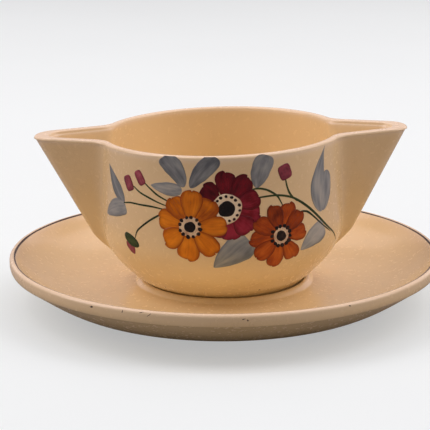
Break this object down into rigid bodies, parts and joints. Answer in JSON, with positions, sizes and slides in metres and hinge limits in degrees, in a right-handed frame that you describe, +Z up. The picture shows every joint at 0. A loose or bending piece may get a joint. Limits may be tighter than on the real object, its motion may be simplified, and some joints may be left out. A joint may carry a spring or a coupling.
{
  "type": "gravy boat",
  "caption": "Round gravy boat with two pointed pouring lips, seated in the well of a round dished stand from which it lifts off.",
  "frame": {"origin": "centre of the stand's foot ring, on the surface it stands on", "axes": "+Z up; +X through the pouring lips; -Y towards the painted side"},
  "size_m": [0.2, 0.2, 0.0829],
  "materials": {
    "cream_glaze": "warm cream glaze, glossy, finely speckled",
    "brown_enamel": "dark brown painted rim line",
    "orange_enamel": "hand painted enamel, glossy",
    "crimson_enamel": "hand painted enamel, glossy",
    "rust_enamel": "hand painted enamel, glossy",
    "pink_enamel": "hand painted enamel, glossy",
    "leaf_enamel": "thin blue-grey enamel wash",
    "green_enamel": "hand painted enamel, glossy",
    "black_enamel": "hand painted enamel, glossy",
    "cream_enamel": "hand painted enamel, glossy"
  },
  "bodies": {
    "stand": {"stand": "cream_glaze"},
    "boat": {"boat": "cream_glaze"}
  },
  "joints": [
    {"name": "boat_lift", "type": "slide", "parent": "stand", "child": "boat", "axis": [0, 0, 1], "range_m": [0, 0.12]}
  ]
}
